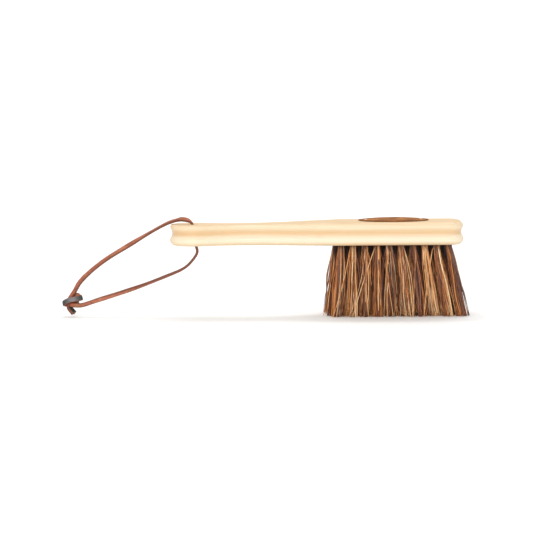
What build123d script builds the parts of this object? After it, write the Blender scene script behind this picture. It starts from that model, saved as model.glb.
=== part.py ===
from build123d import *
import math
import os

# Bee brush: a waisted hardwood stock with a moulded edge, staggered fibre tufts stapled into blind
# holes, an oval leather patch nailed on the back, and a knotted leather lace through the handle.
# Frame: the brush stands on its bristle tips at Z = 0, the head points along +X, and the origin is
# the middle of the footprint of everything but the lace.

# Overall sizes, mm
overall_length = 297.0
stock_length = 293.0
stock_thickness = 23.0
bristle_length = 71.2

# Plan of the stock
head_width = 54.0
waist_width = 29.0
bulb_radius = 24.0
waist_from_hole = 49.0
shoulder_from_waist = 105.5
head_end_crown = 6.0
head_corner_radius = 14.0

# Moulded edge: two beads with a cove between them
lower_bead_radius = 5.2
upper_bead_radius = 4.8
upper_bead_setback = 0.5
cove_depth = 2.3
rim_width = 9.0
core_inset = 7.0

# Shallow relief that thins the handle from above
relief_depth = 2.5
relief_reach = 125.0
relief_from_hole = 20.5

# Lace hole
lace_hole_radius = 4.0
lace_hole_rim = 1.2

# Tufts: staggered rows, pinched where they leave their holes and fanning out towards the tips
tuft_rows = 4
tufts_per_row = 10
tuft_pitch = 11.8
row_pitch = 10.4
tip_fan = 1.17
tip_row_pitch = 12.0
tuft_field_x = 72.0
tuft_root_radius = 3.25
tuft_neck_radius = 3.0
tuft_tip_radius = 6.4
tuft_hole_depth = 14.0

# Staples that hold the tufts
staple_wire = 0.9
staple_span = 4.9
staple_crown_depth = 11.0
staple_leg_length = 7.0

# Leather patch and its nails
patch_x = 74.6
patch_length = 70.0
patch_width = 44.0
patch_thickness = 2.0
patch_edge_round = 0.7
nail_spacing = 54.4
nail_head_radius = 2.0
nail_head_height = 1.0
nail_shank_radius = 0.8
nail_length = 12.0

# Leather lace
lace_diameter = 3.4
limp_bend_diameters = 3.0
bend_share = 0.45

# Route of the lace, mm: from inside the knot, up the upper strand, over the handle's end, down
# through the hole and back along the lower strand into the knot
lace_route = [
    (-250.0, 1.0, 11.0),
    (-247.7, 1.2, 19.9),
    (-241.0, 1.5, 33.3),
    (-227.5, 1.2, 48.8),
    (-204.5, 0.5, 65.8),
    (-178.0, 0.0, 82.0),
    (-154.0, 0.0, 95.4),
    (-138.5, 0.0, 100.6),
    (-126.3, 0.0, 95.6),
    (-122.6, 0.0, 69.5),
    (-123.8, 0.0, 56.5),
    (-131.5, -0.4, 46.0),
    (-150.5, -0.9, 37.3),
    (-176.5, -1.4, 27.6),
    (-204.0, -1.8, 18.4),
    (-227.0, -2.0, 11.6),
    (-241.0, -1.6, 8.2),
]

# Knot at the lace's end, lying on the surface that the brush stands on
knot_x = -246.5
knot_z = 11.05
knot_collar_long = 8.0
knot_collar_short = 4.4
knot_collar_tilt = 18.0
knot_core_radius = 4.6
knot_core_length = 17.0
knot_core_tilt = 14.0
tail_side = 3.2
top_tail_middle = (5.0, -1.5, 6.3)
top_tail_lean = 35.0
top_tail_length = 8.0
low_tail_middle = (2.2, -1.0, -7.2)
low_tail_lean = -20.0
low_tail_length = 7.0

# Positions that follow from the sizes
stock_bottom = bristle_length
stock_top = stock_bottom + stock_thickness
handle_end_x = -overall_length / 2
head_end_x = handle_end_x + stock_length
hole_x = handle_end_x + bulb_radius
waist_x = hole_x + waist_from_hole
shoulder_x = waist_x + shoulder_from_waist
last_root_x = tuft_field_x + tuft_pitch / 4 + tuft_pitch * (tufts_per_row - 1) / 2
last_tip_x = overall_length / 2 - tuft_tip_radius


def half_outline():
    """Plan edges on the +Y side, from the handle's end to the head's end."""
    half_waist = waist_width / 2
    half_head = head_width / 2
    rise = bulb_radius - half_waist
    # the neck arc touches the bulb's circle and runs level at the waist
    neck = (waist_from_hole**2 + half_waist**2 - bulb_radius**2) / (2 * rise)
    neck_centre = Vector(waist_x, half_waist + neck)
    bulb_centre = Vector(hole_x, 0)
    touch = bulb_centre + (neck_centre - bulb_centre).normalized() * bulb_radius
    # two equal arcs swell from the waist to the full width of the head
    swell = half_head - half_waist
    swell_radius = (shoulder_from_waist**2 + swell**2) / (4 * swell)
    middle = Vector((waist_x + shoulder_x) / 2, (half_waist + half_head) / 2)
    return [
        ThreePointArc((handle_end_x, 0), (hole_x, bulb_radius), touch),
        TangentArc((waist_x, half_waist), touch, tangent=(-1, 0), tangent_from_first=True),
        RadiusArc((waist_x, half_waist), middle, -swell_radius),
        RadiusArc(middle, (shoulder_x, half_head), swell_radius),
        Line((shoulder_x, half_head), (head_end_x - head_end_crown, half_head)),
    ]


def plan_face():
    """The stock seen from above, as a face at Z = 0."""
    half = half_outline()
    other = [edge.mirror(Plane.XZ) for edge in half]
    corner_x = head_end_x - head_end_crown
    end = ThreePointArc((corner_x, head_width / 2), (head_end_x, 0), (corner_x, -head_width / 2))
    face = make_face([*half, *other, end])
    corners = face.vertices().sort_by(Axis.X)[-2:]
    return fillet(corners, head_corner_radius)


def moulding():
    """Section of the rim: X is outward from the plan outline, Y is up from the stock's underside."""
    low = Vector(-lower_bead_radius, lower_bead_radius)
    high = Vector(-upper_bead_setback - upper_bead_radius, stock_thickness - upper_bead_radius)
    # the cove's circle touches both beads and reaches in by the cove's depth
    bead = (lower_bead_radius + upper_bead_radius) / 2
    half_gap = (high - low).length / 2
    inward = bead + upper_bead_setback / 2 - cove_depth
    cove = (half_gap**2 + inward**2 - bead**2) / (2 * (bead - inward))
    cove_centre = cove_circle_centre(low, high, cove)
    low_touch = low + (cove_centre - low).normalized() * lower_bead_radius
    high_touch = high + (cove_centre - high).normalized() * upper_bead_radius
    cove_bottom = cove_centre - Vector(cove, 0)
    edges = [
        Line((-rim_width, 0), (low.X, 0)),
        ThreePointArc((low.X, 0), (0, low.Y), low_touch),
        ThreePointArc(low_touch, cove_bottom, high_touch),
        ThreePointArc(high_touch, (-upper_bead_setback, high.Y), (high.X, stock_thickness)),
        Line((high.X, stock_thickness), (-rim_width, stock_thickness)),
        Line((-rim_width, stock_thickness), (-rim_width, 0)),
    ]
    return make_face(edges)


def cove_circle_centre(low, high, radius):
    """Centre of the circle outside both beads that touches each of them."""
    a = lower_bead_radius + radius
    b = upper_bead_radius + radius
    gap = (high - low).length
    along = (a**2 - b**2 + gap**2) / (2 * gap)
    across = math.sqrt(a**2 - along**2)
    up = (high - low).normalized()
    out = Vector(up.Y, -up.X)
    return low + up * along + out * across


def handle_relief():
    """A very large cylinder across the stock that shaves the back of the handle."""
    radius = (relief_reach**2 + relief_depth**2) / (2 * relief_depth)
    z = stock_top + radius - relief_depth
    return Pos(hole_x + relief_from_hole, 0, z) * Rot(90, 0, 0) * Cylinder(radius, 4 * head_width)


def hole_mouth(face_z, side):
    """The ring cut away to round the rim of the lace hole where it meets a face."""
    outer = lace_hole_radius + lace_hole_rim
    ring = Cylinder(outer, 2 * lace_hole_rim, align=(Align.CENTER, Align.CENTER, Align.MIN))
    ring -= Torus(outer, lace_hole_rim)
    return Pos(hole_x, 0, face_z - side * lace_hole_rim) * Rot(90 - side * 90, 0, 0) * ring


def lace_hole():
    """The hole through the handle, with its rims rounded top and bottom."""
    top = stock_top - relief_depth * (1 - (relief_from_hole / relief_reach) ** 2)
    bore = Pos(hole_x, 0, stock_bottom) * Cylinder(lace_hole_radius, 4 * stock_thickness)
    return [bore, hole_mouth(top, 1), hole_mouth(stock_bottom, -1)]


def tuft_places():
    """Root and tip centres of every tuft, row by row from -Y to +Y; every other row is half a pitch back."""
    places = []
    for row in range(tuft_rows):
        across = row - (tuft_rows - 1) / 2
        for i in range(tufts_per_row):
            back = (tufts_per_row - 1 - i + (row % 2) / 2) * tuft_pitch
            root = (last_root_x - back, across * row_pitch)
            tip = (last_tip_x - back * tip_fan, across * tip_row_pitch)
            places.append((f"tuft_r{row + 1}_{i + 1:02d}", root, tip))
    return places


def staple(root):
    """A U of square wire: its crown holds the folded tuft and its legs are driven into the stock."""
    crown = Box(staple_span, staple_wire, staple_wire, align=(Align.CENTER, Align.CENTER, Align.MIN))
    leg = Box(staple_wire, staple_wire, staple_leg_length, align=(Align.CENTER, Align.CENTER, Align.MIN))
    reach = (staple_span - staple_wire) / 2
    bent = crown + Pos(-reach, 0, 0) * leg + Pos(reach, 0, 0) * leg
    return Pos(*root, stock_bottom + staple_crown_depth) * bent


def tuft(root, tip, own_staple):
    """One bundle of fibres: a plug in its hole, then a leaning flared bundle down to the tips."""
    plug = Pos(*root, stock_bottom) * Cylinder(
        tuft_root_radius, tuft_hole_depth, align=(Align.CENTER, Align.CENTER, Align.MIN)
    )
    foot = Vector(*tip, 0)
    axis = Vector(*root, stock_bottom) - foot
    spare = tuft_root_radius
    flare = spare * (tuft_tip_radius - tuft_neck_radius) / axis.length
    cone = Cone(tuft_tip_radius + flare, tuft_neck_radius - flare, axis.length + 2 * spare)
    bundle = Plane(foot + axis / 2, z_dir=axis) * cone
    slab = Pos(0, 0, stock_bottom / 2) * Box(2 * overall_length, 2 * head_width, bristle_length)
    return plug + (bundle & slab) - own_staple


def nails():
    """Two dome-headed nails through the patch."""
    seat = stock_top + patch_thickness
    radius = (nail_head_radius**2 + nail_head_height**2) / (2 * nail_head_height)
    dome = Pos(0, 0, seat + nail_head_height - radius) * Sphere(radius)
    keep = Pos(0, 0, seat) * Cylinder(
        radius, nail_head_height * 2, align=(Align.CENTER, Align.CENTER, Align.MIN)
    )
    shank = Pos(0, 0, seat) * Cylinder(
        nail_shank_radius, nail_length, align=(Align.CENTER, Align.CENTER, Align.MAX)
    )
    nail = (dome & keep) + shank
    return [Pos(patch_x + side * nail_spacing / 2, 0, 0) * nail for side in (-1, 1)]


def leather_patch(fasteners):
    """An oval of thick leather lying on the flat of the head."""
    oval = Pos(patch_x, 0, stock_top) * Ellipse(patch_length / 2, patch_width / 2)
    blank = extrude(oval, patch_thickness)
    blank = fillet(blank.edges().group_by(Axis.Z)[-1], patch_edge_round)
    for nail in fasteners:
        blank -= nail
    return blank


def handle_stock(staples, fasteners):
    """The wooden body: moulded rim, solid core, thinned handle, lace hole and tuft holes."""
    plan = Pos(0, 0, stock_bottom) * plan_face()
    outline = plan.wire()
    section_plane = Plane((handle_end_x, 0, stock_bottom), x_dir=(-1, 0, 0), z_dir=(0, 1, 0))
    rim = sweep(section_plane * moulding(), path=outline)
    core = extrude(offset(plan, amount=-core_inset), stock_thickness)
    body = rim + core
    body -= handle_relief()
    holes = [
        Pos(*root, stock_bottom) * Cylinder(tuft_root_radius, 2 * tuft_hole_depth)
        for _, root, _ in tuft_places()
    ]
    return body - lace_hole() - holes - staples - fasteners


def route_radii(points):
    """A wide tangent arc at each corner, taking up the same share of the shorter run beside it."""
    radii = []
    for before, corner, after in zip(points, points[1:], points[2:]):
        first = Vector(corner) - Vector(before)
        second = Vector(after) - Vector(corner)
        turn = math.radians(first.get_angle(second))
        radii.append(bend_share * min(first.length, second.length) / math.tan(turn / 2))
    return radii


def lanyard_lace():
    """The lace as one plain tube along its route."""
    radii = route_radii(lace_route)
    path = FilletPolyline(*lace_route, radius=radii)
    start = Plane(path @ 0, z_dir=path % 0)
    tube = sweep(start * Circle(lace_diameter / 2), path=path)
    expected = math.pi * (lace_diameter / 2) ** 2 * path.length
    print("lace radii", [round(r, 1) for r in radii])
    print("lace length", round(path.length, 1), "volume", round(tube.volume, 1), "of", round(expected, 1))
    if min(radii) < limp_bend_diameters * lace_diameter:
        print("lace bend tighter than", limp_bend_diameters, "diameters")
    return tube


def lanyard_knot():
    """Outer shape of the knot: a collar round the bundled lace, with two cut tails."""
    ring = Ellipse(knot_collar_long, knot_collar_short)
    path = ring.wire()
    start = Plane(path @ 0, z_dir=path % 0)
    collar = Rot(0, -knot_collar_tilt, 0) * sweep(start * Circle(lace_diameter / 2), path=path)
    stem = Cylinder(knot_core_radius, knot_core_length - 2 * knot_core_radius)
    stem += Pos(0, 0, knot_core_length / 2 - knot_core_radius) * Sphere(knot_core_radius)
    stem += Pos(0, 0, knot_core_radius - knot_core_length / 2) * Sphere(knot_core_radius)
    core = Rot(0, knot_core_tilt, 0) * stem
    top_tail = Pos(*top_tail_middle) * Rot(0, top_tail_lean, 0) * Box(tail_side, tail_side, top_tail_length)
    low_tail = Pos(*low_tail_middle) * Rot(0, low_tail_lean, 0) * Box(tail_side, tail_side, low_tail_length)
    return Pos(knot_x, 0, knot_z) * (collar + core + top_tail + low_tail)


def main():
    os.makedirs("parts", exist_ok=True)
    places = tuft_places()
    staples = [staple(root) for _, root, _ in places]
    fasteners = nails()
    export_step(handle_stock(staples, fasteners), "parts/handle_stock.step")
    for (name, root, tip), own_staple in zip(places, staples):
        export_step(tuft(root, tip, own_staple), f"parts/{name}.step")
    export_step(Compound(children=staples), "parts/tuft_staples.step")
    export_step(leather_patch(fasteners), "parts/leather_patch.step")
    export_step(Compound(children=fasteners), "parts/patch_nails.step")
    export_step(lanyard_lace(), "parts/lanyard_lace.step")
    export_step(lanyard_knot(), "parts/lanyard_knot.step")


main()
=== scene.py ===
import math

import bpy
import numpy as np
from mathutils import Matrix, Vector


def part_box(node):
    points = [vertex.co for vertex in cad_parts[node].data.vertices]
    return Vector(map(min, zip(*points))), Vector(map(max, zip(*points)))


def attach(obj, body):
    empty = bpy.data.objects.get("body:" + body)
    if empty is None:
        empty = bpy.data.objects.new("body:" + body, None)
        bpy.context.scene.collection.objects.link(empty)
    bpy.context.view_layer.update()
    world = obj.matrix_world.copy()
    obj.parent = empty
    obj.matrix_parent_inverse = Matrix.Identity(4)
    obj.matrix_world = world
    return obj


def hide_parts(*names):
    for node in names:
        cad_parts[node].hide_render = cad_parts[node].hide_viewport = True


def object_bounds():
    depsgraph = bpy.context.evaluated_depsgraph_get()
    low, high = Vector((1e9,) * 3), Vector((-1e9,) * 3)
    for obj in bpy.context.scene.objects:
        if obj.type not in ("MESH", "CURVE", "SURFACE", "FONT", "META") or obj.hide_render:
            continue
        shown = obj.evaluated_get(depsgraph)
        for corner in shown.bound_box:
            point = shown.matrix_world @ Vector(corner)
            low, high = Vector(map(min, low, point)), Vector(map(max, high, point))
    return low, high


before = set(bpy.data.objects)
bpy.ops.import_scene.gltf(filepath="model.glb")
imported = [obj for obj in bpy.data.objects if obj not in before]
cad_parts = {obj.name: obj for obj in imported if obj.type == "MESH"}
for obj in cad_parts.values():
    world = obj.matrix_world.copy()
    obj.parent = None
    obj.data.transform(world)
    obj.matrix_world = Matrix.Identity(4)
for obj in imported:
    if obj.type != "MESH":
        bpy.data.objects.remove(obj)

MM = 0.001
cad_low, cad_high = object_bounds()
stock_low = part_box("handle_stock")[0]
patch_low, patch_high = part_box("leather_patch")
PATCH_MIDDLE_X = (patch_low.x + patch_high.x) / 2
PATCH_HALF_X = (patch_high.x - patch_low.x) / 2


# ---------------------------------------------------------------- camera

VIEW_ELEVATION = 5.8  # degrees above the floor
VIEW_ROLL = -0.45  # degrees
VIEW_DISTANCE = 2.0
VIEW_WIDTH = 0.533  # metres seen across the picture, at the brush
VIEW_SENSOR = 36.0
VIEW_SHIFT_X = 0.0013
VIEW_HEIGHT = 0.0489


def make_camera():
    """A long lens in front of the brush, a little above it."""
    data = bpy.data.cameras.new("camera")
    data.sensor_width = VIEW_SENSOR
    data.lens = VIEW_SENSOR * VIEW_DISTANCE / VIEW_WIDTH
    camera = bpy.data.objects.new("camera", data)
    bpy.context.scene.collection.objects.link(camera)
    target = Vector(((cad_low.x + cad_high.x) / 2 + VIEW_SHIFT_X, 0, VIEW_HEIGHT))
    tilt = math.radians(VIEW_ELEVATION)
    back = Vector((0, -math.cos(tilt), math.sin(tilt)))
    pitch = Matrix.Rotation(math.radians(90) - tilt, 4, "X")
    roll = Matrix.Rotation(math.radians(VIEW_ROLL), 4, "Z")
    camera.matrix_world = Matrix.Translation(target + back * VIEW_DISTANCE) @ (pitch @ roll)
    bpy.context.scene.camera = camera


# ---------------------------------------------------------------- shader helpers


def new_material(name):
    """An empty node material: the material, its tree and its main shader."""
    material = bpy.data.materials.new(name)
    material.use_nodes = True
    tree = material.node_tree
    return material, tree, tree.nodes["Principled BSDF"]


def node(tree, kind, inputs=None, **settings):
    """A shader node. An input is a value, or another node's socket."""
    made = tree.nodes.new("ShaderNode" + kind)
    for key, value in settings.items():
        setattr(made, key, value)
    for key, value in (inputs or {}).items():
        if isinstance(value, bpy.types.NodeSocket):
            tree.links.new(value, made.inputs[key])
        else:
            made.inputs[key].default_value = value
    return made


def calc(tree, operation, a, b=0.0):
    """One arithmetic step."""
    return node(tree, "Math", {0: a, 1: b}, operation=operation).outputs[0]


def stored(tree, name):
    """A number stored on the piece's points."""
    return node(tree, "Attribute", attribute_name=name).outputs["Fac"]


def part_of(tree, vector, index):
    """One coordinate of a vector: 0 for x, 1 for y, 2 for z."""
    return node(tree, "SeparateXYZ", {0: vector}).outputs[index]


def place(tree, scale=(1, 1, 1), location=(0, 0, 0)):
    """Object coordinates, scaled and then moved."""
    source = node(tree, "TexCoord").outputs["Object"]
    return node(tree, "Mapping", {"Vector": source, "Location": location, "Scale": scale}).outputs[0]


def noise(tree, where, scale, detail=3.0, roughness=0.5):
    """Fractal noise, from about 0 to 1."""
    inputs = {"Vector": where, "Scale": scale, "Detail": detail, "Roughness": roughness}
    return node(tree, "TexNoise", inputs).outputs["Fac"]


def ramp(tree, factor, stops):
    """A colour ramp from (position, colour) stops."""
    made = node(tree, "ValToRGB", {"Fac": factor})
    band = made.color_ramp
    band.interpolation = "LINEAR"
    while len(band.elements) < len(stops):
        band.elements.new(0.5)
    for element, (position, colour) in zip(band.elements, stops):
        element.position = position
        element.color = (*colour, 1.0)
    return made.outputs["Color"]


def grey(tree, factor, low, high, start=0.0, end=1.0):
    """A number that runs from start to end as factor goes from low to high."""
    inputs = {"Value": factor, 1: low, 2: high, 3: start, 4: end}
    return node(tree, "MapRange", inputs, interpolation_type="SMOOTHSTEP").outputs[0]


MIX_FACTOR, MIX_A, MIX_B, MIX_RESULT = 0, 6, 7, 2  # sockets of a Mix node that mixes colours


def mix(tree, factor, a, b, blend="MIX"):
    """Two colours mixed."""
    made = tree.nodes.new("ShaderNodeMix")
    made.data_type = "RGBA"
    made.blend_type = blend
    for index, value in ((MIX_FACTOR, factor), (MIX_A, a), (MIX_B, b)):
        if isinstance(value, bpy.types.NodeSocket):
            tree.links.new(value, made.inputs[index])
        else:
            made.inputs[index].default_value = value if index == MIX_FACTOR else (*value, 1.0)
    return made.outputs[MIX_RESULT]


def finish_shader(tree, shader, colour, roughness, height=None, bump=0.3, depth=0.0002):
    """Colour, roughness and bump into the main shader."""
    tree.links.new(colour, shader.inputs["Base Color"])
    tree.links.new(roughness, shader.inputs["Roughness"])
    if height is not None:
        raised = node(tree, "Bump", {"Height": height, "Strength": bump, "Distance": depth})
        tree.links.new(raised.outputs[0], shader.inputs["Normal"])


def paint(piece, material):
    """Gives a piece one material and no other."""
    piece.data.materials.clear()
    piece.data.materials.append(material)


# ---------------------------------------------------------------- materials

PITH = Vector((0.0, 0.020, 0.018))
RING_SPACING = 0.0024
KNOT_SCALE = (190, 60, 520)
KNOT_SHIFT = (-0.10, 1.35, -42.1)
SANDED_ROUGHER = 0.42
# bands of painted shade and painted highlight on the moulding: height, half width at full strength, half
# width where it ends, strength, colour
MOULDING_PAINTED_SHADE_AND_HIGHLIGHT = (
    (83.7 * MM, 0.5 * MM, 3.8 * MM, 0.66, (0.70, 0.43, 0.205)),  # the cove
    (89.6 * MM, 0.5 * MM, 3.6 * MM, 0.24, (0.93, 0.84, 0.66)),  # the upper bead
    (77.4 * MM, 1.5 * MM, 5.6 * MM, 0.52, (0.95, 0.86, 0.69)),  # the lower bead
)


def wood_material():
    """Pale planed wood: growth rings round a pith off the board's middle, fibres, pores, warm patches."""
    material, tree, shader = new_material("pale_wood")
    slow = noise(tree, place(tree, scale=(5, 22, 22)), 1.0, detail=2)
    rings_at = place(tree, scale=(0.035, 1, 1), location=(0, -PITH.y, -PITH.z))
    radius = node(tree, "VectorMath", {0: rings_at}, operation="LENGTH").outputs["Value"]
    turns = calc(tree, "ADD", calc(tree, "DIVIDE", radius, RING_SPACING), calc(tree, "MULTIPLY", slow, 5.0))
    ring = calc(tree, "FRACT", turns)
    early = (0.790, 0.610, 0.385)
    late = (0.700, 0.475, 0.255)
    rings = ramp(tree, ring, [(0.0, early), (0.55, (0.775, 0.590, 0.360)), (0.86, late), (0.97, early)])
    streak = noise(tree, place(tree, scale=(14, 900, 900)), 1.0, detail=4, roughness=0.6)
    stops = [(0.3, (0.71, 0.53, 0.32)), (0.5, (0.80, 0.64, 0.42)), (0.72, (0.87, 0.74, 0.54))]
    streaks = ramp(tree, streak, stops)
    colour = mix(tree, 0.45, rings, streaks)
    patch = noise(tree, place(tree, scale=(11, 45, 45)), 1.0, detail=3)
    colour = mix(tree, grey(tree, patch, 0.42, 0.75, 0, 0.5), colour, (0.77, 0.52, 0.28))
    pores = noise(tree, place(tree, scale=(70, 2600, 2600)), 1.0, detail=2)
    colour = mix(tree, grey(tree, pores, 0.64, 0.75, 0, 0.35), colour, (0.55, 0.36, 0.19))
    # a small pin knot on the front of the neck
    knot_at = place(tree, scale=KNOT_SCALE, location=KNOT_SHIFT)
    knot_far = node(tree, "VectorMath", {0: knot_at}, operation="LENGTH").outputs["Value"]
    colour = mix(tree, grey(tree, knot_far, 0.3, 1.3, 0.45, 0), colour, (0.70, 0.44, 0.22))
    # painted shade makes the cove darker and warmer, and painted highlights make the rounded beads paler,
    # as in the photograph
    height_up = part_of(tree, place(tree), 2)
    for level, near, far, share, tint in MOULDING_PAINTED_SHADE_AND_HIGHLIGHT:
        away = calc(tree, "ABSOLUTE", calc(tree, "SUBTRACT", height_up, level))
        colour = mix(tree, grey(tree, away, near, far, share, 0), colour, tint)
    # end grain looks darker
    facing = part_of(tree, node(tree, "NewGeometry").outputs["Normal"], 0)
    end = grey(tree, calc(tree, "ABSOLUTE", facing), 0.75, 1.0, 0, 0.5)
    colour = mix(tree, end, colour, (0.78, 0.52, 0.30))
    height = calc(tree, "SUBTRACT", streak, calc(tree, "MULTIPLY", pores, 0.6))
    # the flat faces are rougher than the moulded sides, and a little darker from painted shade
    flat = part_of(tree, node(tree, "NewGeometry").outputs["Normal"], 2)
    sanded_and_shaded = grey(tree, calc(tree, "ABSOLUTE", flat), 0.75, 0.98, 0, SANDED_ROUGHER)
    rough = calc(tree, "ADD", grey(tree, streak, 0.2, 0.8, 0.34, 0.46), sanded_and_shaded)
    colour = mix(tree, grey(tree, sanded_and_shaded, 0, SANDED_ROUGHER, 0, 1), colour, (0.93, 0.88, 0.84), "MULTIPLY")
    finish_shader(tree, shader, colour, rough, height, bump=0.18, depth=0.00025)
    return material


def fibre_material():
    """Coarse brown plant fibre; tone, hue, run (root to tip) and inner row are stored on the points."""
    material, tree, shader = new_material("coir_fibre")
    tone = stored(tree, "tone")
    hue = stored(tree, "hue")
    run = stored(tree, "run")
    mottle = noise(tree, place(tree, scale=(900, 900, 160)), 1.0, detail=4, roughness=0.65)
    # the strands are painted lighter towards their tips: painted light
    tone_with_lit_tips = calc(tree, "ADD", tone, grey(tree, run, 0.60, 1.0, 0, 0.10))
    # the inner rows are painted darker: painted shade between the tufts
    inner = stored(tree, "inner")
    shaded = calc(tree, "SUBTRACT", tone_with_lit_tips, calc(tree, "MULTIPLY", inner, 0.10))
    tinted = calc(tree, "ADD", shaded, grey(tree, mottle, 0.3, 0.7, -0.13, 0.13))
    stops = [
        (0.00, (0.055, 0.020, 0.012)),
        (0.22, (0.190, 0.066, 0.027)),
        (0.45, (0.430, 0.152, 0.050)),
        (0.65, (0.650, 0.252, 0.078)),
        (0.85, (0.820, 0.445, 0.180)),
        (1.00, (0.950, 0.700, 0.420)),
    ]
    colour = ramp(tree, tinted, stops)
    colour = mix(tree, grey(tree, hue, 0.55, 1.0, 0, 0.60), colour, (0.190, 0.100, 0.088))
    colour = mix(tree, grey(tree, hue, 0.0, 0.3, 0.4, 0), colour, (0.560, 0.190, 0.045))
    # the strands are painted nearly black near their roots, further down in the inner rows: painted shade
    # under the stock
    near_root = calc(tree, "SUBTRACT", run, calc(tree, "MULTIPLY", inner, 0.17))
    colour = mix(tree, grey(tree, near_root, -0.02, 0.20, 0.96, 0), colour, (0.030, 0.014, 0.010))
    rough = grey(tree, mottle, 0.2, 0.8, 0.42, 0.66)
    height = noise(tree, place(tree, scale=(2600, 2600, 260)), 1.0, detail=2)
    finish_shader(tree, shader, colour, rough, height, bump=0.35, depth=0.00015)
    shader.inputs["Specular IOR Level"].default_value = 0.30
    return material


def leather_grain(tree, scale):
    """Pebbled leather: cells with creases between them."""
    cells = node(tree, "TexVoronoi", {"Vector": place(tree), "Scale": scale}, feature="DISTANCE_TO_EDGE")
    fine = noise(tree, place(tree), scale * 1.7, detail=4, roughness=0.6)
    creases = grey(tree, cells.outputs["Distance"], 0.0, 0.16)
    return calc(tree, "ADD", creases, calc(tree, "MULTIPLY", fine, 0.6))


def lace_material():
    """Square-cut leather lace: reddish grain side, darker cut sides with painted shade along the edges, and
    a dark flesh side with a painted highlight where one is stored.
    """
    material, tree, shader = new_material("lace_leather")
    flesh = stored(tree, "flesh")
    cut = stored(tree, "cut")
    cloud = noise(tree, place(tree), 170, detail=4, roughness=0.6)
    stops = [(0.28, (0.230, 0.060, 0.030)), (0.5, (0.380, 0.112, 0.056)), (0.72, (0.540, 0.200, 0.115))]
    colour = ramp(tree, cloud, stops)
    dye = noise(tree, place(tree, location=(0.31, 0.12, 0.07)), 95, detail=3)
    colour = mix(tree, grey(tree, dye, 0.52, 0.72, 0, 0.55), colour, (0.255, 0.125, 0.040))
    colour = mix(tree, grey(tree, dye, 0.28, 0.46, 0.5, 0), colour, (0.440, 0.120, 0.095))
    # the cut sides and the grain side's corners next to them are darker: partly the leather's own cut edge,
    # partly painted shade along the lace's edges
    colour = mix(tree, calc(tree, "MULTIPLY", cut, 0.75), colour, (0.130, 0.042, 0.024))
    nap = noise(tree, place(tree), 1500, detail=3)
    dark = ramp(tree, nap, [(0.3, (0.012, 0.015, 0.011)), (0.7, (0.048, 0.056, 0.044))])
    pale = ramp(tree, nap, [(0.3, (0.130, 0.115, 0.120)), (0.7, (0.270, 0.245, 0.250))])
    # the flesh side is painted pale where stored: a painted highlight in the middle of the knot's band
    painted_highlight = stored(tree, "painted_highlight")
    colour = mix(tree, flesh, colour, mix(tree, painted_highlight, dark, pale))
    grain = leather_grain(tree, 2400)
    rough = grey(tree, cloud, 0.3, 0.7, 0.40, 0.58)
    finish_shader(tree, shader, colour, rough, grain, bump=0.2, depth=0.00008)
    shader.inputs["Specular IOR Level"].default_value = 0.32
    return material


def patch_material():
    """Thick brown leather, clouded, darker at its cut edge."""
    material, tree, shader = new_material("patch_leather")
    rim = stored(tree, "rim")
    cloud = noise(tree, place(tree), 70, detail=5, roughness=0.6)
    stops = [(0.34, (0.220, 0.080, 0.022)), (0.5, (0.380, 0.145, 0.040)), (0.68, (0.540, 0.240, 0.080))]
    colour = ramp(tree, cloud, stops)
    # the far side of the patch is painted darker than the near one: painted shade
    back = part_of(tree, place(tree), 1)
    colour = mix(tree, grey(tree, back, -3 * MM, 12 * MM, 0, 0.7), colour, (0.160, 0.075, 0.034))
    colour = mix(tree, grey(tree, rim, 0.88, 1.0, 0, 0.75), colour, (0.150, 0.060, 0.026))
    grain = leather_grain(tree, 900)
    rough = grey(tree, cloud, 0.3, 0.7, 0.66, 0.82)
    finish_shader(tree, shader, colour, rough, grain, bump=0.4, depth=0.0002)
    shader.inputs["Specular IOR Level"].default_value = 0.06
    return material


def steel_material(name, tint, rough_low, rough_high):
    """Bright wire or nail steel with fine scratches and a little tarnish."""
    material, tree, shader = new_material(name)
    worn = noise(tree, place(tree), 900, detail=4, roughness=0.7)
    darker = tuple(0.72 * c for c in tint)
    colour = ramp(tree, worn, [(0.35, darker), (0.6, tint)])
    rough = grey(tree, worn, 0.3, 0.7, rough_low, rough_high)
    finish_shader(tree, shader, colour, rough, worn, bump=0.08, depth=0.0001)
    shader.inputs["Metallic"].default_value = 1.0
    return material


def floor_material():
    """Plain pale studio floor."""
    material, tree, shader = new_material("studio_floor")
    faint = noise(tree, place(tree), 3.0, detail=2)
    colour = ramp(tree, faint, [(0.3, (0.94, 0.94, 0.935)), (0.7, (0.955, 0.955, 0.95))])
    finish_shader(tree, shader, colour, grey(tree, faint, 0.3, 0.7, 0.75, 0.85))
    return material


# ---------------------------------------------------------------- mesh helpers


def new_piece(name, vertices, faces, body, attributes=None):
    """A smooth mesh object in the shared frame that rides on a body, with numbers stored on its points."""
    mesh = bpy.data.meshes.new(name)
    mesh.from_pydata([tuple(v) for v in vertices], [], faces)
    for key, values in (attributes or {}).items():
        layer = mesh.attributes.new(key, "FLOAT", "POINT")
        layer.data.foreach_set("value", np.asarray(values, np.float32))
    mesh.polygons.foreach_set("use_smooth", [True] * len(mesh.polygons))
    mesh.update()
    piece = bpy.data.objects.new(name, mesh)
    bpy.context.scene.collection.objects.link(piece)
    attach(piece, body)
    return piece


def tube_faces(rings, sides, first=0):
    """Quads of a tube of several rings, with a flat face over each end."""
    faces = []
    for ring in range(rings - 1):
        a = first + ring * sides
        for k in range(sides):
            n = (k + 1) % sides
            faces.append((a + k, a + n, a + sides + n, a + sides + k))
    faces.append(tuple(first + k for k in reversed(range(sides))))
    faces.append(tuple(first + (rings - 1) * sides + k for k in range(sides)))
    return faces


# ---------------------------------------------------------------- bristle tufts

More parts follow.
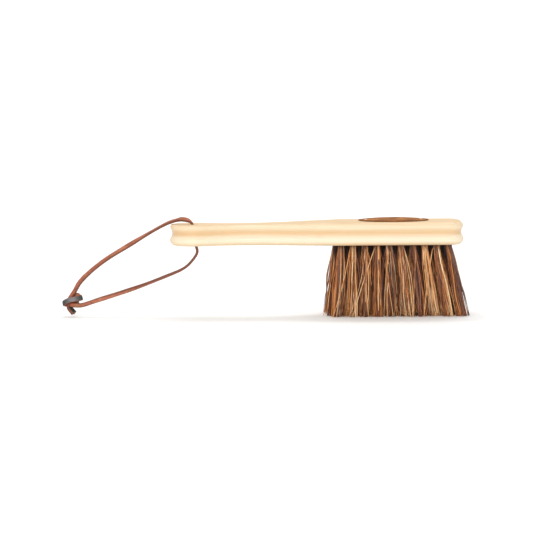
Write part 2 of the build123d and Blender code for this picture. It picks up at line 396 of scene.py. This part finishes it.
FIBRES_PER_TUFT = 58
FIBRE_SIDES = 5
FIBRE_RINGS = 11
FIBRE_WIDTH = 1.22 * MM
FIBRE_THICKNESS = 0.70 * MM
WIDTH_SPREAD = 0.34
THICKNESS_SPREAD = 0.22
TIP_TAPER = 0.35
FIBRE_IN_HOLE = 5 * MM
FLOOR_GAP = 0.05 * MM
FIBRE_WAVES = ((1, 1.2), (2, 0.6), (3, 0.34), (5, 0.15))  # half waves along a fibre, and their size in mm
CLUMPS_PER_TUFT = 7
CLUMP_TONE_SPREAD = 0.26
CLUMP_TONE_SHARE = 0.55
TUFT_LEAN = 0.8 * MM
TUFT_LEAN_LIMIT = 1.4 * MM
TIP_SPREAD = 1.8 * MM
STRAY_SHARE = 0.10
STRAY_SPREAD = 3.5 * MM
STRAY_LIMIT = 1.12  # furthest tip, as a share of the CAD tuft's radius at the tips
SHORT_SHARE = 0.10
WORN_SHARE = 0.22
STRAND_TONE = 0.47
STRAND_TONE_SPREAD = 0.22
DARK_BELOW = 0.16  # share of strands that are nearly black
PALE_ABOVE = 0.93  # the remaining share is pale
GOLDEN_TURN = math.pi * (3 - math.sqrt(5))
FIRST_TUFT_SEED = 4100

CROSSING_REACH = 5.9 * MM  # a crossing strand belongs to the tuft whose root is this near to its own
CROSSING_FORWARD = 5.2 * MM
CROSSING_FOOT = 0.6 * MM
# Long pale strands that cross the front of the brush: place of root, middle and tip along X in mm
# from the middle of the patch, and the tone
CROSSING_STRANDS = [
    (-28.9, -33.5, -45.6, 0.97),
    (-18.0, -30.5, -42.0, 0.93),
    (-43.5, -50.5, -61.5, 0.80),
    (-53.0, -54.0, -58.0, 0.90),
    (7.5, 16.5, 18.2, 0.95),
    (21.5, 19.5, 17.5, 0.86),
    (38.5, 33.0, 28.5, 0.84),
    (44.0, 49.5, 56.0, 0.82),
    (-4.5, -9.0, -11.0, 0.88),
    (31.0, 36.5, 37.5, 0.80),
]


END_SLICE = 0.1 * MM
SAME_ROW = 1 * MM


def tuft_ends(name):
    """Root centre, tip centre, hole radius and tip radius of a tuft, read from its solid."""
    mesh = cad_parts[name].data
    points = np.empty(3 * len(mesh.vertices), np.float32)
    mesh.vertices.foreach_get("co", points)
    points = points.reshape(-1, 3)
    top = points[points[:, 2] > points[:, 2].max() - END_SLICE]
    foot = points[points[:, 2] < points[:, 2].min() + END_SLICE]
    root = (top.min(0) + top.max(0)) / 2
    tip = (foot.min(0) + foot.max(0)) / 2
    return root[:2], tip[:2], np.ptp(top[:, 0]) / 2, np.ptp(foot[:, 0]) / 2


TUFTS = {name: tuft_ends(name) for name in sorted(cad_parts) if name.startswith("tuft_r")}
FRONT_ROW_Y = min(root[1] for root, _, _, _ in TUFTS.values())
BACK_ROW_Y = max(root[1] for root, _, _, _ in TUFTS.values())
# the tufts nearest the handle are squeezed at their roots and moved a little from it, as in the photograph
HANDLE_END_ROOTS = min(root[0] for root, _, _, _ in TUFTS.values()) + SAME_ROW
END_TUFT_SQUEEZE = np.array([0.55, 0.9])
END_TUFT_SHIFT = np.array([0.7 * MM, 0.0])


def is_inner(name):
    """Whether a tuft stands in one of the rows between the front and the back row."""
    root = TUFTS[name][0]
    return FRONT_ROW_Y + SAME_ROW < root[1] < BACK_ROW_Y - SAME_ROW


def spread_points(rng, count, radius):
    """Points spread evenly over a disc, a little jittered."""
    steps = np.arange(count)
    away = radius * np.sqrt((steps + 0.5) / count)
    angle = steps * GOLDEN_TURN + rng.normal(0, 0.25, count) + rng.uniform(0, 2 * math.pi)
    return np.stack([away * np.cos(angle), away * np.sin(angle)], axis=1)


def strand_tones(rng, clump_tone, clump):
    """Mostly brown strands, some nearly black and a few pale ones."""
    count = len(clump)
    tone = STRAND_TONE + CLUMP_TONE_SHARE * clump_tone[clump] + rng.normal(0, STRAND_TONE_SPREAD, count)
    pick = rng.random(count)
    tone = np.where(pick < DARK_BELOW, rng.uniform(0.0, 0.16, count), tone)
    tone = np.where(pick > PALE_ABOVE, rng.uniform(0.80, 1.0, count), tone)
    return np.clip(tone, 0, 1)


def tuft_lines(rng, name):
    """Centrelines of a tuft's fibres as an array [fibre, ring, xyz], with their tones and hues."""
    root, tip, root_radius, tip_radius = TUFTS[name]
    count = FIBRES_PER_TUFT
    at_root = spread_points(rng, count, 0.9 * root_radius)
    spread = tip_radius / root_radius
    clump_at = spread_points(rng, CLUMPS_PER_TUFT, 0.8 * root_radius)
    gaps = np.linalg.norm(at_root[:, None] - clump_at[None], axis=2)
    clump = gaps.argmin(1)
    clump_tone = rng.normal(0, CLUMP_TONE_SPREAD, CLUMPS_PER_TUFT)
    pull = rng.uniform(0.1, 0.55, count)[:, None]
    lean = np.clip(rng.normal(0, TUFT_LEAN, 2), -TUFT_LEAN_LIMIT, TUFT_LEAN_LIMIT)
    gathered = at_root * (1 - pull) + clump_at[clump] * pull
    at_tip = gathered * spread + rng.normal(0, TIP_SPREAD, (count, 2)) + lean
    strays = rng.random(count) < STRAY_SHARE
    at_tip[strays] += rng.normal(0, STRAY_SPREAD, (strays.sum(), 2))
    reach = np.linalg.norm(at_tip, axis=1, keepdims=True)
    at_tip *= np.minimum(1, STRAY_LIMIT * tip_radius / reach)
    down = np.linspace(0, 1, FIBRE_RINGS)
    start = stock_low.z + FIBRE_IN_HOLE
    short = rng.random(count) < SHORT_SHARE
    shorter = np.where(short, rng.uniform(1, 9, count), rng.uniform(0.0, 0.6, count)) * MM
    worn = rng.random(CLUMPS_PER_TUFT) < WORN_SHARE
    clump_shorter = np.where(worn, rng.uniform(0.5, 3.5, CLUMPS_PER_TUFT), 0) * MM
    shorter += clump_shorter[clump]
    z = start + (shorter[:, None] - start) * down
    fall = np.clip((stock_low.z - z) / stock_low.z, 0, 1)
    fan = fall[:, :, None]
    if root[0] < HANDLE_END_ROOTS:
        at_root = at_root * END_TUFT_SQUEEZE + END_TUFT_SHIFT
    lines = (root + at_root)[:, None] * (1 - fan) + (tip + at_tip)[:, None] * fan
    for half_waves, size in FIBRE_WAVES:
        sway = rng.normal(0, size * MM, (count, 1, 2))
        phase = rng.uniform(-0.4, 0.4, (count, 1)) if half_waves > 1 else 0
        wave = np.sin(math.pi * half_waves * fall + phase) * np.minimum(1, 5 * fall)
        lines = lines + sway * wave[:, :, None]
    lines = np.concatenate([lines, z[:, :, None]], axis=2)
    clump_hue = rng.uniform(0.1, 0.9, CLUMPS_PER_TUFT)
    hues = np.clip(clump_hue[clump] + rng.normal(0, 0.26, count), 0, 1)
    return lines, strand_tones(rng, clump_tone, clump), hues


def crossing_lines(name):
    """The long pale strands whose roots are nearest to this tuft of the front row, and their tones."""
    root, tip, root_radius, _ = TUFTS[name]
    lines, tones = [], []
    if root[1] > FRONT_ROW_Y + SAME_ROW:
        return np.zeros((0, FIBRE_RINGS, 3)), np.zeros(0)
    for root_x, mid_x, tip_x, tone in CROSSING_STRANDS:
        if abs(PATCH_MIDDLE_X + root_x * MM - root[0]) > CROSSING_REACH:
            continue
        t = np.linspace(0, 1, FIBRE_RINGS)
        bend = (4 * mid_x - root_x - tip_x) * t * (1 - t)
        x = PATCH_MIDDLE_X + MM * (root_x * (1 - t) ** 2 + bend + tip_x * t**2)
        x[0] = root[0]
        y = root[1] - root_radius * 0.8 + (tip[1] - root[1] - CROSSING_FORWARD) * t
        start = stock_low.z + FIBRE_IN_HOLE * 0.4
        z = start - (start - CROSSING_FOOT) * t
        lines.append(np.stack([x, y, z], axis=1))
        tones.append(tone)
    return np.array(lines).reshape(-1, FIBRE_RINGS, 3), np.array(tones)


def fibre_bundle(rng, name, material):
    """One tuft as a bundle of separate tapered strands."""
    lines, tones, hues = tuft_lines(rng, name)
    extra, extra_tones = crossing_lines(name)
    lines = np.concatenate([lines, extra])
    tones = np.concatenate([tones, extra_tones])
    hues = np.concatenate([hues, np.zeros(len(extra))])
    count = len(lines)
    down = np.linspace(0, 1, FIBRE_RINGS)
    width = FIBRE_WIDTH * rng.lognormal(0, WIDTH_SPREAD, count)
    thick = FIBRE_THICKNESS * rng.lognormal(0, THICKNESS_SPREAD, count)
    taper = 1 - TIP_TAPER * down**2 + rng.normal(0, 0.06, (count, FIBRE_RINGS))
    turn = rng.uniform(0, math.pi, (count, 1)) + rng.normal(0, 0.9, (count, 1)) * down
    around = 2 * math.pi * np.arange(FIBRE_SIDES) / FIBRE_SIDES
    across = (width[:, None] * taper)[:, :, None] / 2 * np.cos(around)
    along = (thick[:, None] * taper)[:, :, None] / 2 * np.sin(around)
    c, s = np.cos(turn)[:, :, None], np.sin(turn)[:, :, None]
    ring = np.stack([c * across - s * along, s * across + c * along, np.zeros_like(across)], axis=3)
    points = lines[:, :, None, :] + ring
    points[..., 2] = np.maximum(points[..., 2], FLOOR_GAP)
    faces = []
    for i in range(count):
        faces += tube_faces(FIBRE_RINGS, FIBRE_SIDES, i * FIBRE_RINGS * FIBRE_SIDES)
    shape = (count, FIBRE_RINGS, FIBRE_SIDES)
    attributes = {
        "tone": np.broadcast_to(tones[:, None, None], shape).ravel(),
        "hue": np.broadcast_to(hues[:, None, None], shape).ravel(),
        "run": np.broadcast_to(down[None, :, None], shape).ravel(),
        "inner": np.full(points.size // 3, float(is_inner(name))),
    }
    piece = new_piece("fibres_" + name, points.reshape(-1, 3), faces, "brush", attributes)
    paint(piece, material)
    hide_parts(name)


def make_tufts():
    """Every tuft, each from its own seed."""
    material = fibre_material()
    for number, name in enumerate(TUFTS):
        fibre_bundle(np.random.default_rng(FIRST_TUFT_SEED + number), name, material)


# ---------------------------------------------------------------- leather patch

PATCH_CROWN = 1.1 * MM
PATCH_EDGE = 1.1 * MM
NAIL_DIP = 0.95 * MM
NAIL_DIP_REACH = 3.6 * MM
PATCH_RIPPLE = 0.10 * MM
PATCH_ROUNDED_FROM = 0.97
PATCH_ROUNDED_OVER = 0.03
PATCH_RINGS = 40
PATCH_RING_CROWDING = 1.6  # the rings stand closer towards the edge
PATCH_SPOKES = 144
# the shell's last rings, down its cut edge and in under it: share of the radius, share of the height
PATCH_UNDERSIDE = [(1.0, 0.35), (0.998, 0.0), (0.9, 0.0)]


def nail_places():
    """Middle of each nail head, read from the nails' solid."""
    low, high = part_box("patch_nails")
    inset = (high.y - low.y) / 2
    return [Vector((low.x + inset, 0, 0)), Vector((high.x - inset, 0, 0))]


NAILS = nail_places()


def patch_height(x, y, share):
    """Height of the patch's top: domed, thinner at its skived edge and pulled down by the nails."""
    dome = (PATCH_CROWN + patch_high.z - patch_low.z - PATCH_EDGE) * (1 - share**2)
    for nail in NAILS:
        away = (x - nail.x) ** 2 + (y - nail.y) ** 2
        dome -= NAIL_DIP * math.exp(-away / NAIL_DIP_REACH**2)
    ripple = PATCH_RIPPLE * math.sin(5 * math.atan2(y, x - PATCH_MIDDLE_X) + 0.8) * share**3
    edge = max(0.0, (share - PATCH_ROUNDED_FROM) / PATCH_ROUNDED_OVER)
    rounded = 0.4 * PATCH_EDGE * (1 - math.sqrt(max(0.0, 1 - edge**2)))
    return patch_low.z + PATCH_EDGE + dome + ripple - rounded


def make_patch():
    """The oval leather patch: a crowned top over a flat back, as one closed shell."""
    centre = (patch_low + patch_high) / 2
    half_y = (patch_high.y - patch_low.y) / 2
    vertices = [(centre.x, centre.y, patch_height(centre.x, centre.y, 0))]
    rim = [0.0]
    shares = [1 - (1 - i / PATCH_RINGS) ** PATCH_RING_CROWDING for i in range(1, PATCH_RINGS + 1)]
    levels = [(share, None) for share in shares] + PATCH_UNDERSIDE
    for share, side in levels:
        for k in range(PATCH_SPOKES):
            angle = 2 * math.pi * k / PATCH_SPOKES
            wave = 1 + 0.004 * math.sin(3 * angle + 1.1) + 0.003 * math.sin(7 * angle)
            x = centre.x + PATCH_HALF_X * share * wave * math.cos(angle)
            y = centre.y + half_y * share * wave * math.sin(angle)
            top = patch_height(x, y, share)
            z = top if side is None else patch_low.z + side * (top - patch_low.z)
            vertices.append((x, y, z))
            rim.append(share)
    faces = [(0, 1 + k, 1 + (k + 1) % PATCH_SPOKES) for k in range(PATCH_SPOKES)]
    for ring in range(len(levels) - 1):
        a = 1 + ring * PATCH_SPOKES
        for k in range(PATCH_SPOKES):
            n = (k + 1) % PATCH_SPOKES
            faces.append((a + k, a + PATCH_SPOKES + k, a + PATCH_SPOKES + n, a + n))
    last = 1 + (len(levels) - 1) * PATCH_SPOKES
    faces.append(tuple(last + k for k in reversed(range(PATCH_SPOKES))))
    piece = new_piece("patch_oval", vertices, faces, "brush", {"rim": rim})
    paint(piece, patch_material())
    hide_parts("leather_patch")


NAIL_HEAD_RADIUS = 1.9 * MM
NAIL_HEAD_RISE = 0.90 * MM
NAIL_HEAD_EDGE = 0.12 * MM
NAIL_HEAD_STEPS = 8
NAIL_SINK = 0.15 * MM
NAIL_SHANK_RADIUS = 0.8 * MM
NAIL_POINT = 2.2 * MM
NAIL_POINT_RADIUS = 0.05 * MM
NAIL_SIDES = 32


def make_nails():
    """Two dome-headed nails whose heads are driven down into the domed leather."""
    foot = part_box("patch_nails")[0].z
    vertices, faces = [], []
    for nail in NAILS:
        seat = patch_height(nail.x, nail.y, abs(nail.x - PATCH_MIDDLE_X) / PATCH_HALF_X) - NAIL_SINK
        profile = [
            (NAIL_POINT_RADIUS, foot),
            (NAIL_SHANK_RADIUS, foot + NAIL_POINT),
            (NAIL_SHANK_RADIUS, seat),
            (NAIL_HEAD_RADIUS, seat),
            (NAIL_HEAD_RADIUS, seat + NAIL_HEAD_EDGE),
        ]
        for step in range(1, NAIL_HEAD_STEPS):
            lift = math.radians(90) * step / NAIL_HEAD_STEPS
            rise = NAIL_HEAD_EDGE + (NAIL_HEAD_RISE - NAIL_HEAD_EDGE) * math.sin(lift)
            profile.append((NAIL_HEAD_RADIUS * math.cos(lift), seat + rise))
        first = len(vertices)
        for radius, height in profile:
            for k in range(NAIL_SIDES):
                angle = 2 * math.pi * k / NAIL_SIDES
                x = nail.x + radius * math.cos(angle)
                y = nail.y + radius * math.sin(angle)
                vertices.append((x, y, height))
        faces += tube_faces(len(profile), NAIL_SIDES, first)
    piece = new_piece("nails_driven", vertices, faces, "brush")
    # the nail steel is tinted warm as a painted reflection of the wood and leather round it
    paint(piece, steel_material("nail_metal", (0.93, 0.80, 0.64), 0.30, 0.45))
    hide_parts("patch_nails")


# ---------------------------------------------------------------- leather lace

LACE_WIDTH = 4.3 * MM
LACE_THICKNESS = 2.8 * MM
LACE_SIDES = 24
LACE_SQUARENESS = 5  # power of the section's superellipse: 2 is round, more is squarer
LACE_WIDTH_RIPPLES = ((0.03, 11 * MM), (0.025, 4.7 * MM))  # share of the width, length of one radian
LACE_THICKNESS_RIPPLE = (0.05, 8.3 * MM)
FLESH_BELOW = -0.84
CUT_FROM = 0.45
CUT_OVER = 0.5
BAND_SPREAD = 1.18
BAND_HIGHLIGHT_AT = 0.57
HIGHLIGHT_REACH = 0.10
TAIL_SPREAD = 1.35
TAIL_THICKER = 1.5
ROUTE_RESOLUTION = 14

# Route of each strand, mm: out of the middle of the hole, to the knot at the loop's end
UPPER_ROUTE = [
    (-124.4, 0.0, 82.0),
    (-124.8, 0.0, 90.8),
    (-128.6, 0.0, 95.6),
    (-135.2, 0.0, 97.0),
    (-138.8, 0.0, 96.8),
    (-149.7, 0.0, 94.0),
    (-168.2, 0.0, 84.0),
    (-192.5, 0.2, 69.6),
    (-213.4, 0.6, 57.2),
    (-229.1, 0.9, 44.9),
    (-239.9, 0.9, 34.3),
    (-243.9, 0.6, 26.3),
    (-249.2, 0.3, 18.8),
    (-251.2, 0.3, 15.2),
]
LOWER_ROUTE = [
    (-124.4, 0.0, 82.0),
    (-123.0, 0.0, 71.2),
    (-120.5, 0.0, 64.4),
    (-124.8, 0.0, 57.1),
    (-133.6, -0.2, 47.7),
    (-151.3, -0.6, 40.5),
    (-175.3, -1.0, 31.2),
    (-200.3, -1.4, 23.0),
    (-224.2, -1.8, 15.8),
    (-236.6, -2.8, 11.5),
    (-242.5, -4.6, 11.7),
    (-247.8, -2.7, 12.0),
    (-250.4, 1.8, 11.6),
]
# Turns of the knot, mm from its middle: the lower strand passes behind the bundle, turns round its
# left side, crosses the front with its flesh side out and turns back over the top; the upper
# strand runs down behind that band and ends in a cut tail
KNOT_MIDDLE = Vector((-247.6, 0.0, 12.3))
BAND_ROUTE = [
    (6.6, -0.4, 2.4),
    (1.6, 2.6, 0.6),
    (-4.0, 4.4, -0.4),
    (-7.9, 2.4, 0.4),
    (-7.7, -3.4, 1.6),
    (-3.0, -4.5, 4.6),
    (3.2, -4.5, 5.6),
    (8.0, -4.0, 6.4),
    (10.3, -0.8, 6.6),
    (8.2, 2.0, 7.6),
    (5.4, 1.8, 9.0),
    (3.2, 2.6, 8.8),
    (0.0, 3.4, 7.4),
]
TAIL_ROUTE = [
    (-1.8, 0.6, 3.8),
    (-3.2, 0.5, 1.2),
    (-3.4, 0.0, -1.8),
    (-1.0, -1.4, -5.0),
    (2.3, -3.6, -8.3),
]


def route_line(name, points):
    """Points along the smooth NURBS line that a route's points control, in metres."""
    data = bpy.data.curves.new(name, "CURVE")
    data.dimensions = "3D"
    data.resolution_u = ROUTE_RESOLUTION
    spline = data.splines.new("NURBS")
    spline.points.add(len(points) - 1)
    for point, where in zip(spline.points, points):
        point.co = (*(Vector(where) * MM), 1.0)
    spline.order_u = 3
    spline.use_endpoint_u = True
    holder = bpy.data.objects.new(name, data)
    mesh = bpy.data.meshes.new_from_object(holder)
    line = [v.co.copy() for v in mesh.vertices]
    bpy.data.objects.remove(holder)
    bpy.data.curves.remove(data)
    bpy.data.meshes.remove(mesh)
    return line


def line_length(line):
    """Length of a line of points."""
    return sum((b - a).length for a, b in zip(line, line[1:]))


def line_shares(line):
    """How far along the line each point is, from 0 to 1."""
    steps = [0.0]
    for a, b in zip(line, line[1:]):
        steps.append(steps[-1] + (b - a).length)
    return [s / steps[-1] for s in steps]


def facing_at(share, facings):
    """The direction that the grain side faces at a share of the line, between the stated ones."""
    for (start, a), (end, b) in zip(facings, facings[1:]):
        if share <= end:
            t = (share - start) / (end - start)
            t = t * t * (3 - 2 * t)
            return (Vector(a) * (1 - t) + Vector(b) * t).normalized()
    return Vector(facings[-1][1]).normalized()


def lace_shell(line, facings, seed, broader=1.0, thicker=1.0, highlight_at=None):
    """Vertices, faces and attributes of a square-cut lace along a line, with a painted highlight at one
    share of it.
    """
    phase = np.random.default_rng(seed).uniform(0, 2 * math.pi, 3)
    shares = line_shares(line)
    length = line_length(line)
    vertices, flesh, cut, painted_highlight = [], [], [], []
    for i, point in enumerate(line):
        before, after = line[max(i - 1, 0)], line[min(i + 1, len(line) - 1)]
        tangent = (after - before).normalized()
        facing = facing_at(shares[i], facings)
        up = (facing - tangent * facing.dot(tangent)).normalized()
        side = tangent.cross(up)
        along = shares[i] * length
        ripple = sum(
            size * math.sin(along / reach + start)
            for (size, reach), start in zip(LACE_WIDTH_RIPPLES, phase)
        )
        wide = LACE_WIDTH * broader * (1 + ripple)
        size, reach = LACE_THICKNESS_RIPPLE
        thick = LACE_THICKNESS * thicker * (1 + size * math.sin(along / reach + phase[2]))
        pale = 0.0 if highlight_at is None else math.exp(-(((shares[i] - highlight_at) / HIGHLIGHT_REACH) ** 2))
        for k in range(LACE_SIDES):
            angle = 2 * math.pi * (k + 0.5) / LACE_SIDES
            c, s = math.cos(angle), math.sin(angle)
            soft = (abs(c) ** LACE_SQUARENESS + abs(s) ** LACE_SQUARENESS) ** (-1 / LACE_SQUARENESS)
            vertices.append(point + side * (wide / 2 * soft * c) + up * (thick / 2 * soft * s))
            flesh.append(1.0 if s * soft < FLESH_BELOW else 0.0)
            cut.append(min(1.0, max(0.0, (abs(c * soft) - CUT_FROM) / CUT_OVER)))
            painted_highlight.append(pale)
    faces = tube_faces(len(line), LACE_SIDES)
    return vertices, faces, {"flesh": flesh, "cut": cut, "painted_highlight": painted_highlight}


def joined(shells):
    """Several shells as one list of vertices, faces and attributes."""
    vertices, faces, attributes = [], [], {"flesh": [], "cut": [], "painted_highlight": []}
    for shell_vertices, shell_faces, shell_attributes in shells:
        first = len(vertices)
        vertices += shell_vertices
        faces += [tuple(first + v for v in face) for face in shell_faces]
        for key in attributes:
            attributes[key] += shell_attributes[key]
    return vertices, faces, attributes


# Which way the grain side faces along each piece: (share of its length, direction)
UPPER_FACING = [
    (0, (1, 0, 0.1)),
    (0.06, (0.9, 0, 0.3)),
    (0.13, (0.1, -0.8, 0.6)),
    (0.17, (0.1, -0.3, 1)),
    (0.3, (-0.3, -0.2, 1)),
    (0.5, (-0.3, -0.8, 0.6)),
    (1, (-0.5, -0.8, 0.3)),
]
LOWER_FACING = [
    (0, (1, 0, 0)),
    (0.2, (1, 0, -0.3)),
    (0.4, (0.3, -0.3, -0.9)),
    (0.65, (0.1, -0.8, -0.6)),
    (0.9, (0, -1, 0.2)),
    (1, (-0.8, -0.6, 0.2)),
]
BAND_FACING = [
    (0, (0.1, -0.9, 0.2)),
    (0.17, (0.3, -0.9, 0)),
    (0.33, (0.9, 0.3, 0.1)),
    (0.45, (0.4, 1, -0.2)),
    (0.69, (0, 1, -0.3)),
    (0.82, (-1, 0.2, 0)),
    (0.92, (0, -1, 0.3)),
    (1, (0, -1, 0.3)),
]
TAIL_FACING = [
    (0, (-0.5, -0.8, 0.3)),
    (0.3, (-0.7, -0.2, 0)),
    (0.6, (-0.75, 0.65, -0.1)),
    (1, (-0.75, 0.65, -0.1)),
]


def lace_piece(name, shell, node_name, material):
    """A piece of the lace, standing for one of the lanyard's nodes."""
    vertices, faces, attributes = shell
    piece = new_piece(name, vertices, faces, "lanyard", attributes)
    paint(piece, material)
    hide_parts(node_name)
    return piece


def make_lanyard():
    """Both strands of the lace and the tied knot."""
    material = lace_material()
    upper_line = route_line("upper_route", UPPER_ROUTE)
    lower_line = route_line("lower_route", LOWER_ROUTE)
    band_line = route_line("band_route", [KNOT_MIDDLE + Vector(p) for p in BAND_ROUTE])
    tail_line = route_line("tail_route", [KNOT_MIDDLE + Vector(p) for p in TAIL_ROUTE])
    upper_shell = lace_shell(upper_line, UPPER_FACING, seed=11)
    lower_shell = lace_shell(lower_line, LOWER_FACING, seed=12)
    band = lace_shell(band_line, BAND_FACING, 13, BAND_SPREAD, highlight_at=BAND_HIGHLIGHT_AT)
    tail = lace_shell(tail_line, TAIL_FACING, 14, TAIL_SPREAD, TAIL_THICKER)
    upper = lace_piece("lace_upper", upper_shell, "lanyard_lace", material)
    lower = lace_piece("lace_lower", lower_shell, "lanyard_lace", material)
    knot = lace_piece("lace_knot", joined([band, tail]), "lanyard_knot", material)


# ---------------------------------------------------------------- studio


def area_light(name, where, target, size, power):
    """A soft white rectangular light aimed at a point."""
    data = bpy.data.lights.new(name, "AREA")
    data.shape = "RECTANGLE"
    data.size, data.size_y = size
    data.energy = power
    light = bpy.data.objects.new(name, data)
    light.location = where
    light.rotation_euler = (Vector(target) - Vector(where)).to_track_quat("-Z", "Y").to_euler()
    bpy.context.scene.collection.objects.link(light)


FLOOR_HALF_WIDTH = 4.0
FLOOR_FRONT = -3.5
FLOOR_BACK = 1.6
SWEEP_RADIUS = 1.2
SWEEP_STEPS = 24
WALL_HEIGHT = 3.6
WORLD_STRENGTH = 0.80
# lights: name, place, aimed at, size in metres, watts
LIGHTS = (
    ("key", (-0.35, -1.7, 0.75), (0, 0, 0.06), (0.7, 0.5), 8.5),
    ("front", (0.1, -2.4, 0.32), (0, 0, 0.06), (1.2, 0.35), 6.0),
    ("backdrop", (0, 1.0, 2.6), (0, 2.4, 0.3), (2.5, 1.0), 38.0),
)


def make_floor():
    """A pale floor that sweeps up into a wall well behind the brush."""
    profile = [(FLOOR_FRONT, 0.0), (FLOOR_BACK, 0.0)]
    for step in range(1, SWEEP_STEPS + 1):
        turn = math.radians(90) * step / SWEEP_STEPS
        y = FLOOR_BACK + SWEEP_RADIUS * math.sin(turn)
        z = SWEEP_RADIUS * (1 - math.cos(turn))
        profile.append((y, z))
    profile.append((FLOOR_BACK + SWEEP_RADIUS, WALL_HEIGHT))
    vertices = [(x, y, z) for y, z in profile for x in (-FLOOR_HALF_WIDTH, FLOOR_HALF_WIDTH)]
    faces = [(2 * i, 2 * i + 1, 2 * i + 3, 2 * i + 2) for i in range(len(profile) - 1)]
    mesh = bpy.data.meshes.new("floor")
    mesh.from_pydata(vertices, [], faces)
    mesh.polygons.foreach_set("use_smooth", [True] * len(mesh.polygons))
    floor = bpy.data.objects.new("floor", mesh)
    bpy.context.scene.collection.objects.link(floor)
    paint(floor, floor_material())


def make_studio():
    """A pale floor, a white surround, soft light from near the camera and a light on the backdrop."""
    make_floor()
    world = bpy.data.worlds.new("surround")
    bpy.context.scene.world = world
    world.use_nodes = True
    background = world.node_tree.nodes["Background"]
    background.inputs["Color"].default_value = (1.0, 1.0, 1.0, 1.0)
    background.inputs["Strength"].default_value = WORLD_STRENGTH
    for light in LIGHTS:
        area_light(*light)
    bpy.context.scene.view_settings.view_transform = "Standard"


# ---------------------------------------------------------------- the scene

make_camera()
make_lanyard()
paint(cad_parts["handle_stock"], wood_material())
paint(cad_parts["tuft_staples"], steel_material("staple_steel", (0.62, 0.61, 0.58), 0.3, 0.5))
make_tufts()
make_patch()
make_nails()
make_studio()
